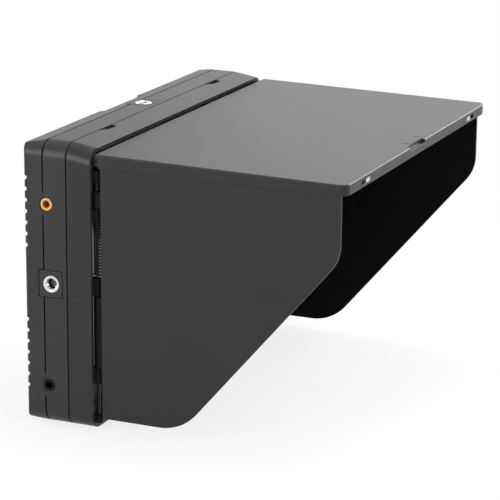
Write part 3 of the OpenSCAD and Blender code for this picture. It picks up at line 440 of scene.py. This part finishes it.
# Skins over the CAD nodes that show: body, slot, finishes, width of the soft edge in millimetres
skinSettings = {
    "front_shell": ("monitor", "shell_plastic", ["shellPlastic"], 0.28),
    "rear_shell": ("monitor", "shell_plastic", ["shellPlastic"], 0.28),
    "hood_frame": ("hood", "hood_plastic", ["hoodPlastic"], 0.34),
    "hood_lid": ("lid", "hood_plastic", ["hoodPlastic"], 0.22),
    "left_panel": ("left_panel", "hood_plastic", ["hoodPlastic"], 0.3),
    "right_panel": ("right_panel", "hood_plastic", ["hoodPlastic"], 0.3),
    "battery_plate": ("monitor", "trim_plastic", ["trimPlastic"], 0.2),
    "battery_catch": ("battery_catch", "trim_plastic", ["trimPlastic"], 0.3),
    "power_socket": ("monitor", "socket_plastic", ["socketPlastic"], 0.15),
    "av_jack": ("monitor", "socket_plastic", ["deepOrange"], 0.12),
    "av_jack_ring": ("monitor", "orange_plastic", ["orangePlastic"], 0.15),
    "headphone_jack": ("monitor", "socket_plastic", ["jackPlastic"], 0.2),
    "screen_glass": ("monitor", "screen_glass", ["screenBlack"], 0.15),
    "video_in_socket": ("monitor", "plated_metal", ["platedMetal"], 0.1),
    "video_out_socket": ("monitor", "plated_metal", ["platedMetal"], 0.1),
}
plateSettings = {"sides": ("left", "right", "top", "bottom"), "edge": 0.2}
buttonSettings = {
    "names": ("power", "input", "menu", "left", "right", "zoom", "peak"),
    "edge": 0.45,
    "segments": 3,
}
skins = {}
for node, (body, slot, materials, edge) in skinSettings.items():
    skins[node] = dressNode(node, body, materials, edge * mm)
for side in plateSettings["sides"]:
    plate = "trim_plate_" + side
    edge = plateSettings["edge"] * mm
    skins[plate] = dressNode(plate, "monitor", ["trimPlastic"], edge)
for name in buttonSettings["names"]:
    button = name + "_button"
    edge, segments = buttonSettings["edge"] * mm, buttonSettings["segments"]
    skins[button] = dressNode(button, button, ["keyPlastic"], edge, segments)
print("skins made")


# Finishes for CAD nodes that keep their own shape
nodeFinishes = {
    "display_cell": "socketPlastic",
    "backlight_tray": "trayMetal",
    "light_guide": "guidePlastic",
    "main_board": "boardLaminate",
    "key_board": "boardLaminate",
    "battery_contacts": "contactGold",
    "shell_screws": "steelMetal",
    "board_screws": "steelMetal",
    "plate_screws": "steelMetal",
    "lid_pins": "springSteel",
    "left_hinge_pin": "springSteel",
    "right_hinge_pin": "springSteel",
}
for node, finish in nodeFinishes.items():
    nodes[node].data.materials.clear()
    nodes[node].data.materials.append(finishes[finish])


# The battery catch's leaf spring, dressed with a soft edge on the monitor's body
leafSettings = {"push": 1.0 * mm, "spare": 0.1 * mm, "least": 0.1, "edge": 0.05 * mm}


def makeCatchLeaf(settings):
    edge = settings["edge"]
    piece = dressNode("catch_spring", "monitor", ["springSteel"], edge)
    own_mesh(piece)


# Torsion springs with a finer wire than the CAD's, on the same middle line
springSettings = {
    "wire": 0.42 * mm,
    "coil": 1.55 * mm,
    "turns": 17,
    "pitch": 1.6 * mm,
    "leg": 8 * mm,
    "swing": 9.77,
    "steps": 28,
    "sides": 12,
    "sharp": 50,
}


def makeSpring(side, mirror, settings):
    axis = Vector(joints[side + "_panel_hinge"]["pos_m"])
    low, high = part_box(side + "_hinge_spring")
    wire, coil, pitch, steps = (settings[key] for key in ("wire", "coil", "pitch", "steps"))
    base = low.z + wire
    swing = math.radians(settings["swing"])
    reach = high.y - axis.y
    line = [(coil, reach, 0), (coil, reach / 2, 0)]
    for i in range(settings["turns"] * steps + 1):
        turn = 2 * math.pi * i / steps
        line.append((coil * math.cos(turn), -coil * math.sin(turn), pitch * i / steps))
    start = Vector((coil * math.cos(swing), -coil * math.sin(swing), pitch * settings["turns"]))
    line.append(tuple(start))
    leg = settings["leg"] * Vector((-math.sin(swing), -math.cos(swing), 0))
    line.append(tuple(start + leg))
    path = [Vector((axis.x + mirror * x, axis.y + y, base + z)) for x, y, z in line]
    points, faces = tubeAlong(path, wire, settings["sides"])
    name, sharp = side + "_spring_wire", settings["sharp"]
    piece = meshPiece(name, points, faces, "hood", ["springSteel"], sharp)
    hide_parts(side + "_hinge_spring")


makeCatchLeaf(leafSettings)
makeSpring("left", 1, springSettings)
makeSpring("right", -1, springSettings)
print("springs made")


# Tripod inserts turned on a lathe, with a chamfered mouth and a helical thread
insertSettings = {
    "flange": 4.55 * mm,
    "edge": 0.25 * mm,
    "mouth": 3.6 * mm,
    "lip": 0.01 * mm,
    "chamfer": 0.6 * mm,
    "root": 3.12 * mm,
    "crest": 2.75 * mm,
    "pitch": 1.27 * mm,
    "deep": 5.2 * mm,
    "end": 0.4 * mm,
    # depth into the bore past which the painted shade starts
    "dark": 2.6 * mm,
    "around": 64,
    "rows": 84,
    "weld": 1e-7,
    "sharp": 40,
}
insertSides = {"left": (-1, 0, 0), "right": (1, 0, 0), "top": (0, 0, 1), "bottom": (0, 0, -1)}


# Radius of the threaded bore at a depth and a share of a turn
def boreRadius(settings, depth, share):
    mouth, crest = settings["mouth"], settings["crest"]
    if depth == 0:
        return mouth - settings["lip"]
    phase = (depth / settings["pitch"] - share) % 1
    tooth = abs(2 * phase - 1)
    lead = max(0, 1 - depth / settings["chamfer"])
    return max(crest + (settings["root"] - crest) * tooth, crest + (mouth - crest) * lead)


def makeInsert(side, outward, settings):
    low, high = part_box("thread_insert_" + side)
    normal = Vector(outward)
    length = abs((high - low).dot(normal))
    mouth = (low + high) / 2 + normal * length / 2
    first = normal.orthogonal().normalized()
    second = normal.cross(first)
    flange, edge, deep = settings["flange"], settings["edge"], settings["deep"]
    around, rows = settings["around"], settings["rows"]
    profile = [
        (0, length),
        (flange - edge, length),
        (flange, length - edge),
        (flange, edge),
        (flange - edge, 0),
        (settings["mouth"], 0),
    ]
    profile += [(None, deep * row / rows) for row in range(rows + 1)]  # the bore's own radius
    profile += [(settings["crest"] / 2, deep + settings["end"]), (0, deep + settings["end"])]
    points = []
    for radius, depth in profile:
        for k in range(around):
            turn = 2 * math.pi * k / around
            reach = boreRadius(settings, depth, k / around) if radius is None else radius
            out = first * math.cos(turn) + second * math.sin(turn)
            points.append(mouth + out * reach - normal * depth)
    name, sharp = "thread_insert_" + side + "_skin", settings["sharp"]
    faces = ringFaces(len(profile), around)
    piece = meshPiece(name, points, faces, "monitor", ["platedMetal"], sharp)
    shape = bmesh.new()
    shape.from_mesh(piece.data)
    bmesh.ops.remove_doubles(shape, verts=shape.verts, dist=settings["weld"])
    bmesh.ops.recalc_face_normals(shape, faces=shape.faces)
    shape.to_mesh(piece.data)
    shape.free()
    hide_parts("thread_insert_" + side)
    return piece


inserts = {}
for side, outward in insertSides.items():
    inserts[side] = makeInsert(side, outward, insertSettings)
print("inserts made")


# Painted shade on faces of the same skins: inside the hood (partly its matte lining), in the seams,
# at the hinges and deep in the bores
seamSettings = {
    "front_shell": 4.0 * mm,
    "rear_shell": 4.0 * mm,
    "hood_frame": -9.3 * mm,
    "reach": 0.9 * mm,
    "facing": 0.9,
    "knuckle": 2.6 * mm,
}


def paintFaces(piece, finish, chosen):
    piece.data.materials.append(finishes[finish])
    slot = len(piece.data.materials) - 1
    for face in piece.data.polygons:
        if chosen(face.center, face.normal):
            face.material_index = slot


def facesInward(way):
    return lambda centre, normal: normal.dot(Vector(way)) > seamSettings["facing"]


def behind(level):
    return lambda centre, normal: centre.y > level


def inSeam(level):
    reach, facing = seamSettings["reach"], seamSettings["facing"]
    return lambda centre, normal: abs(centre.y - level) < reach and abs(normal.y) > facing


def nearHinge(axis):
    return lambda centre, normal: (centre.to_2d() - axis).length < seamSettings["knuckle"]


def deepInBore(side):
    low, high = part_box("thread_insert_" + side)
    outward = Vector(insertSides[side])
    level = max(low.dot(outward), high.dot(outward)) - insertSettings["dark"]
    return lambda centre, normal: centre.dot(outward) < level


# Painted shade, partly a matte lining, on the panels' inner faces and the lid's underside
paintFaces(skins["left_panel"], "liningAndShadePlastic", facesInward((1, 0, 0)))
paintFaces(skins["right_panel"], "liningAndShadePlastic", facesInward((-1, 0, 0)))
paintFaces(skins["hood_lid"], "liningAndShadePlastic", facesInward((0, 0, -1)))
for panel in ("left_panel", "right_panel"):
    hinge = Vector(joints[panel + "_hinge"]["pos_m"]).to_2d()
    # Painted shadow on the panels' knuckles and on the frame's faces around the hinges
    paintFaces(skins[panel], "knuckleShadowPaint", behind(hingeStrip[panel]))
    paintFaces(skins["hood_frame"], "knuckleShadowPaint", nearHinge(hinge))
# Painted shade deep in the threaded bores
for side, insert in inserts.items():
    paintFaces(insert, "boreShadeMetal", deepInBore(side))
# Painted shadow on the faces inside the seams between shells and hood frame
for shell in ("front_shell", "rear_shell", "hood_frame"):
    paintFaces(skins[shell], "liningAndShadePlastic", inSeam(seamSettings[shell]))


# Floor, light and background; the value is one where the camera, a mirror or glass looks on
def lookedAt(tree):
    path = addNode(tree, "ShaderNodeLightPath")
    rays = [(0, path.outputs["Is Camera Ray"]), (1, path.outputs["Is Transmission Ray"])]
    seen = addNode(tree, "ShaderNodeMath", rays, operation="MAXIMUM")
    rays = [(0, seen.outputs[0]), (1, path.outputs["Is Glossy Ray"])]
    return addNode(tree, "ShaderNodeMath", rays, operation="MAXIMUM").outputs[0]


# A white floor that keeps a pale shadow between near and far, and is clear from below
floorSettings = {
    "size": 6.0,
    "drop": 0.0005,
    "near": 0.16,
    "far": 0.5,
    "shade": 0.8,
    "tone": (0.8, 0.84),
    "cloud": 3.0,
    "roughness": 0.9,
    "specular": 0.1,
}


def floorMaterial(settings):
    material, tree, shader = newMaterial("floorPaint")
    place = addNode(tree, "ShaderNodeTexCoord").outputs["Object"]
    cloud = addNode(tree, "ShaderNodeTexNoise", [("Vector", place), ("Scale", settings["cloud"])])
    darkest, palest = settings["tone"]
    tone = addNode(tree, "ShaderNodeMapRange", [
        (0, cloud.outputs[0]), (3, darkest), (4, palest)
    ])
    tree.links.new(tone.outputs[0], shader.inputs["Base Color"])
    shader.inputs["Roughness"].default_value = settings["roughness"]
    shader.inputs["Specular IOR Level"].default_value = settings["specular"]
    away = addNode(tree, "ShaderNodeVectorMath", [(0, place)], operation="LENGTH")
    plain = addNode(tree, "ShaderNodeMapRange", [
        (0, away.outputs["Value"]),
        (1, settings["near"]),
        (2, settings["far"]),
        (3, settings["shade"]),
        (4, 1.0),
    ], interpolation_type="SMOOTHSTEP")
    amount = addNode(
        tree, "ShaderNodeMath", [(0, lookedAt(tree)), (1, plain.outputs[0])], operation="MULTIPLY"
    )
    white = addNode(tree, "ShaderNodeEmission", [("Color", (1, 1, 1, 1)), ("Strength", 1.0)])
    blend = addNode(tree, "ShaderNodeMixShader", [
        (0, amount.outputs[0]), (1, shader.outputs[0]), (2, white.outputs[0])
    ])
    geometry = addNode(tree, "ShaderNodeNewGeometry")
    clear = addNode(tree, "ShaderNodeBsdfTransparent")
    shown = addNode(tree, "ShaderNodeMixShader", [
        (0, geometry.outputs["Backfacing"]), (1, blend.outputs[0]), (2, clear.outputs[0])
    ])
    tree.links.new(shown.outputs[0], tree.nodes["Material Output"].inputs[0])
    return material


def makeFloor(settings):
    mesh = bpy.data.meshes.new("floor")
    half = settings["size"] / 2
    corners = [(-half, -half, 0), (half, -half, 0), (half, half, 0), (-half, half, 0)]
    mesh.from_pydata(corners, [], [(0, 1, 2, 3)])
    mesh.materials.append(floorMaterial(settings))
    floor = bpy.data.objects.new("floor", mesh)
    floor.location.z = -settings["drop"]
    scene.collection.objects.link(floor)


worldSettings = {"ambient": 0.4}


def makeWorld(settings):
    world = bpy.data.worlds.new("studio")
    world.use_nodes = True
    scene.world = world
    tree = world.node_tree
    tree.nodes.clear()
    strength = addNode(tree, "ShaderNodeMapRange", [
        (0, lookedAt(tree)), (3, settings["ambient"]), (4, 1.0)
    ])
    light = addNode(tree, "ShaderNodeBackground", [
        ("Color", (1, 1, 1, 1)), ("Strength", strength.outputs[0])
    ])
    end = addNode(tree, "ShaderNodeOutputWorld")
    tree.links.new(light.outputs[0], end.inputs[0])


# Place, aim and size in metres, power in watts
lampSettings = {
    "overhead": {"place": (0.25, -0.35, 1.5), "aim": (0.0, -0.08, 0.1), "size": 1.0, "power": 12.0},
    "rightKey": {"place": (2.3, -0.75, 1.05), "aim": (0.0, -0.08, 0.1), "size": 1.2, "power": 26.0},
    "sheen": {"place": (1.5, 0.35, 0.62), "aim": (0.0, -0.08, 0.12), "size": 0.7, "power": 0.8},
    "front": {"place": (0.0, -1.7, 1.5), "aim": (0.0, 0.0, 0.1), "size": 1.3, "power": 24.0},
    "leftRear": {"place": (-1.0, 0.45, 0.42), "aim": (-0.1, 0.0, 0.12), "size": 0.55, "power": 7.0},
    "rear": {"place": (0.4, 1.6, 0.9), "aim": (0.0, 0.0, 0.08), "size": 0.9, "power": 12.0},
}


def makeLamp(name, settings):
    data = bpy.data.lights.new(name, "AREA")
    data.shape = "DISK"
    data.size = settings["size"]
    data.energy = settings["power"]
    lamp = bpy.data.objects.new(name, data)
    place = Vector(settings["place"])
    facing = (Vector(settings["aim"]) - place).to_track_quat("-Z", "Y")
    lamp.matrix_world = Matrix.Translation(place) @ facing.to_matrix().to_4x4()
    scene.collection.objects.link(lamp)


makeFloor(floorSettings)
makeWorld(worldSettings)
for name, settings in lampSettings.items():
    makeLamp(name, settings)
scene.view_settings.view_transform = "Standard"
print("stage and lamps made")
